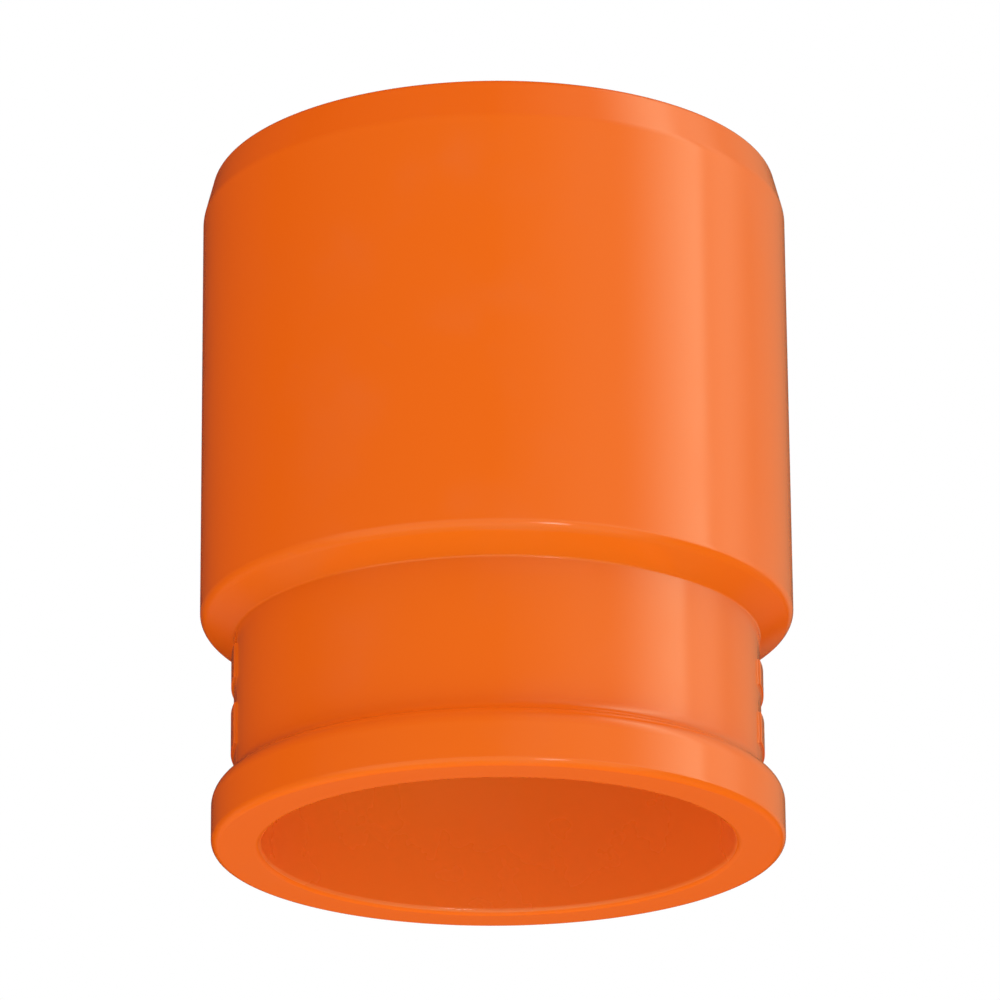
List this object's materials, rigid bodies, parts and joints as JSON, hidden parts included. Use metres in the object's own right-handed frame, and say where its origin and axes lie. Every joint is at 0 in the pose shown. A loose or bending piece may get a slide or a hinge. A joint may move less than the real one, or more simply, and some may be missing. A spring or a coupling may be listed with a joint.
{
  "type": "grooved pipe adapter",
  "caption": "One-piece moulded pipe adapter: a plain round hub with a solvent-cement socket, a narrower neck that forms the coupling groove, and a short end lip round a straight bore.",
  "frame": {"origin": "centre of the lip's flat end face, on the axis of the waterway", "axes": "+Z along the waterway from the grooved end to the mouth of the pipe socket; the blank raised pads face -X and +X, turned 9 degrees towards +Y"},
  "size_m": [0.0762, 0.0762, 0.0904],
  "materials": {
    "orange_moulding": "smooth glossy injection moulding"
  },
  "bodies": {
    "root": {"adapter_body": "orange_moulding"}
  },
  "joints": []
}
